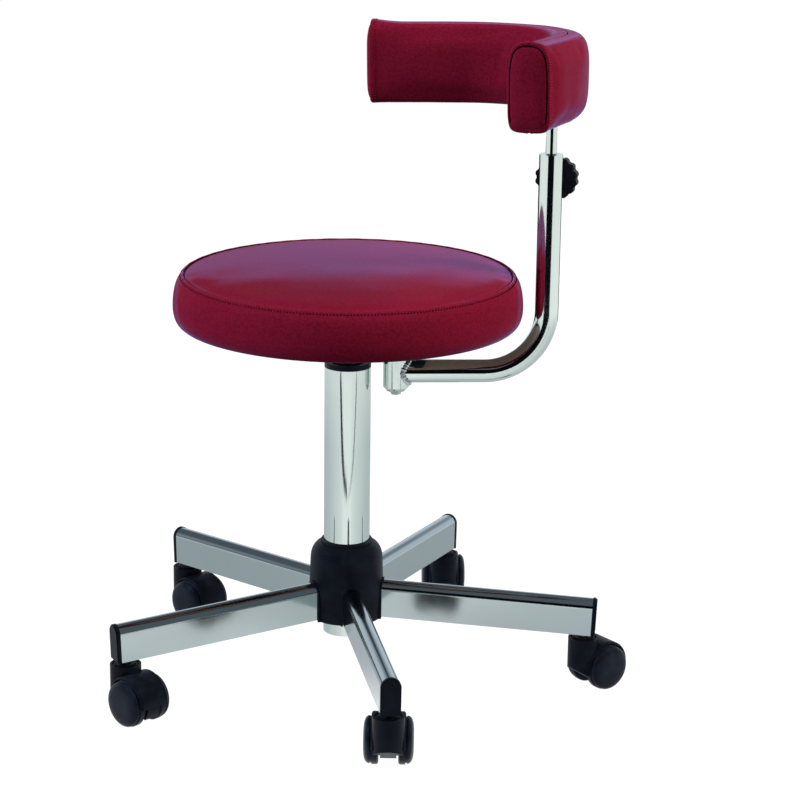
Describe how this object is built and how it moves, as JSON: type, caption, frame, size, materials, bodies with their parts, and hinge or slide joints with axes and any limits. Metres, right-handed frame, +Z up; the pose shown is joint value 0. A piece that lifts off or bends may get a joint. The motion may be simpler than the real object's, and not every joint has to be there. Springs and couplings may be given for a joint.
{
  "type": "swivel stool with backrest",
  "caption": "Swivel work stool with a round padded seat, a curved padded backrest on a bent side arm, a gas-lift column and a star base on twin-wheel castors.",
  "frame": {"origin": "on the floor under the column axis", "axes": "+Z up along the column, +Y towards the back arm, +X to the side that faces the picture's camera"},
  "size_m": [0.5571, 0.5566, 0.7211],
  "materials": {
    "chrome": "polished",
    "steel": "satin",
    "black_steel": "satin",
    "black_plastic": "matte",
    "wheel_plastic": "satin",
    "bush_plastic": "satin",
    "leatherette": "satin",
    "plywood": "matte",
    "rubber": "matte"
  },
  "bodies": {
    "base": {"column_tube": "chrome", "column_floor": "steel", "thrust_bearing": "steel", "guide_bush": "bush_plastic", "hub_cover": "black_plastic", "end_plugs": "black_plastic", "arm_1": "chrome", "arm_2": "chrome", "arm_3": "chrome", "arm_4": "chrome", "arm_5": "chrome"},
    "lift_rod": {"piston_rod": "steel", "buffer_ring": "rubber"},
    "seat": {"gas_cylinder": "chrome", "seat_plate": "black_steel", "lever_pin": "steel", "seat_board": "plywood", "seat_screws": "steel", "seat_cushion": "leatherette", "pivot_bolt": "steel"},
    "release_lever": {"release_lever": "black_steel"},
    "release_pin": {"release_pin": "steel"},
    "back_arm": {"pivot_tube": "chrome", "pivot_bushes": "bush_plastic", "back_tube": "chrome", "guide_sleeve": "chrome", "clamp_boss": "chrome"},
    "clamp_stud": {"clamp_stud": "steel"},
    "clamp_knob": {"clamp_knob": "black_plastic"},
    "back_rod": {"back_rod": "chrome"},
    "backrest": {"back_plate": "black_steel", "back_board": "plywood", "back_screws": "steel", "back_cushion": "leatherette"},
    "castor_1": {"castor_1_hood": "black_plastic", "castor_1_stem": "steel", "castor_1_axle": "steel"},
    "castor_1_wheel_left": {"castor_1_wheel_left": "wheel_plastic"},
    "castor_1_wheel_right": {"castor_1_wheel_right": "wheel_plastic"},
    "castor_2": {"castor_2_hood": "black_plastic", "castor_2_stem": "steel", "castor_2_axle": "steel"},
    "castor_2_wheel_left": {"castor_2_wheel_left": "wheel_plastic"},
    "castor_2_wheel_right": {"castor_2_wheel_right": "wheel_plastic"},
    "castor_3": {"castor_3_hood": "black_plastic", "castor_3_stem": "steel", "castor_3_axle": "steel"},
    "castor_3_wheel_left": {"castor_3_wheel_left": "wheel_plastic"},
    "castor_3_wheel_right": {"castor_3_wheel_right": "wheel_plastic"},
    "castor_4": {"castor_4_hood": "black_plastic", "castor_4_stem": "steel", "castor_4_axle": "steel"},
    "castor_4_wheel_left": {"castor_4_wheel_left": "wheel_plastic"},
    "castor_4_wheel_right": {"castor_4_wheel_right": "wheel_plastic"},
    "castor_5": {"castor_5_hood": "black_plastic", "castor_5_stem": "steel", "castor_5_axle": "steel"},
    "castor_5_wheel_left": {"castor_5_wheel_left": "wheel_plastic"},
    "castor_5_wheel_right": {"castor_5_wheel_right": "wheel_plastic"}
  },
  "joints": [
    {"name": "seat_swivel", "type": "hinge", "parent": "base", "child": "lift_rod", "pos_m": [0, 0, 0.06], "axis": [0, 0, 1], "continuous": true},
    {"name": "seat_height", "type": "slide", "parent": "lift_rod", "child": "seat", "axis": [0, 0, 1], "range_m": [0, 0.13]},
    {"name": "back_arm_swing", "type": "hinge", "parent": "seat", "child": "back_arm", "pos_m": [0, 0.0515, 0.35], "axis": [0, 0, 1], "range_deg": [-42, 38]},
    {"name": "back_height", "type": "slide", "parent": "back_arm", "child": "back_rod", "axis": [0, 0, 1], "range_m": [-0.03, 0.06]},
    {"name": "back_turn", "type": "hinge", "parent": "back_rod", "child": "backrest", "pos_m": [-0.00558, 0.2114, 0.66], "axis": [0, 0, 1], "continuous": true},
    {"name": "knob_turn", "type": "hinge", "parent": "clamp_stud", "child": "clamp_knob", "pos_m": [-0.03412, 0.22067, 0.552], "axis": [-0.9511, 0.309, 0], "range_deg": [0, 360]},
    {"name": "clamp_travel", "type": "slide", "parent": "back_arm", "child": "clamp_stud", "axis": [-0.9511, 0.309, 0], "range_m": [0, 0.00125]},
    {"name": "lever_pull", "type": "hinge", "parent": "seat", "child": "release_lever", "pos_m": [-0.01541, -0.00719, 0.3956], "axis": [-0.4226, 0.9063, 0], "range_deg": [0, 5], "stiffness_Nm_per_rad": 1.5},
    {"name": "pin_travel", "type": "slide", "parent": "seat", "child": "release_pin", "axis": [0, 0, -1], "range_m": [0, 0.0015]},
    {"name": "castor_1_swivel", "type": "hinge", "parent": "base", "child": "castor_1", "pos_m": [0.25742, 0.04308, 0.075], "axis": [0, 0, 1], "continuous": true},
    {"name": "castor_1_left_roll", "type": "hinge", "parent": "castor_1", "child": "castor_1_wheel_left", "pos_m": [0.23643, 0.04381, 0.025], "axis": [-0.0349, -0.9994, 0], "continuous": true},
    {"name": "castor_1_right_roll", "type": "hinge", "parent": "castor_1", "child": "castor_1_wheel_right", "pos_m": [0.23643, 0.04381, 0.025], "axis": [-0.0349, -0.9994, 0], "continuous": true},
    {"name": "castor_2_swivel", "type": "hinge", "parent": "base", "child": "castor_2", "pos_m": [0.03858, 0.25813, 0.075], "axis": [0, 0, 1], "continuous": true},
    {"name": "castor_2_left_roll", "type": "hinge", "parent": "castor_2", "child": "castor_2_wheel_left", "pos_m": [0.02624, 0.27512, 0.025], "axis": [-0.809, -0.5878, 0], "continuous": true},
    {"name": "castor_2_right_roll", "type": "hinge", "parent": "castor_2", "child": "castor_2_wheel_right", "pos_m": [0.02624, 0.27512, 0.025], "axis": [-0.809, -0.5878, 0], "continuous": true},
    {"name": "castor_3_swivel", "type": "hinge", "parent": "base", "child": "castor_3", "pos_m": [-0.23358, 0.11646, 0.075], "axis": [0, 0, 1], "continuous": true},
    {"name": "castor_3_left_roll", "type": "hinge", "parent": "castor_3", "child": "castor_3_wheel_left", "pos_m": [-0.25458, 0.11646, 0.025], "axis": [0, -1, 0], "continuous": true},
    {"name": "castor_3_right_roll", "type": "hinge", "parent": "castor_3", "child": "castor_3_wheel_right", "pos_m": [-0.25458, 0.11646, 0.025], "axis": [0, -1, 0], "continuous": true},
    {"name": "castor_4_swivel", "type": "hinge", "parent": "base", "child": "castor_4", "pos_m": [-0.18294, -0.18616, 0.075], "axis": [0, 0, 1], "continuous": true},
    {"name": "castor_4_left_roll", "type": "hinge", "parent": "castor_4", "child": "castor_4_wheel_left", "pos_m": [-0.16783, -0.17157, 0.025], "axis": [-0.6947, 0.7193, 0], "continuous": true},
    {"name": "castor_4_right_roll", "type": "hinge", "parent": "castor_4", "child": "castor_4_wheel_right", "pos_m": [-0.16783, -0.17157, 0.025], "axis": [-0.6947, 0.7193, 0], "continuous": true},
    {"name": "castor_5_swivel", "type": "hinge", "parent": "base", "child": "castor_5", "pos_m": [0.12052, -0.23151, 0.075], "axis": [0, 0, 1], "continuous": true},
    {"name": "castor_5_left_roll", "type": "hinge", "parent": "castor_5", "child": "castor_5_wheel_left", "pos_m": [0.13562, -0.21692, 0.025], "axis": [-0.6947, 0.7193, 0], "continuous": true},
    {"name": "castor_5_right_roll", "type": "hinge", "parent": "castor_5", "child": "castor_5_wheel_right", "pos_m": [0.13562, -0.21692, 0.025], "axis": [-0.6947, 0.7193, 0], "continuous": true}
  ],
  "couplings": [
    {"joint": "knob_turn", "follows": "clamp_travel", "rad_per_m": 5026.5},
    {"joint": "pin_travel", "follows": "lever_pull", "m_per_rad": 0.017}
  ]
}
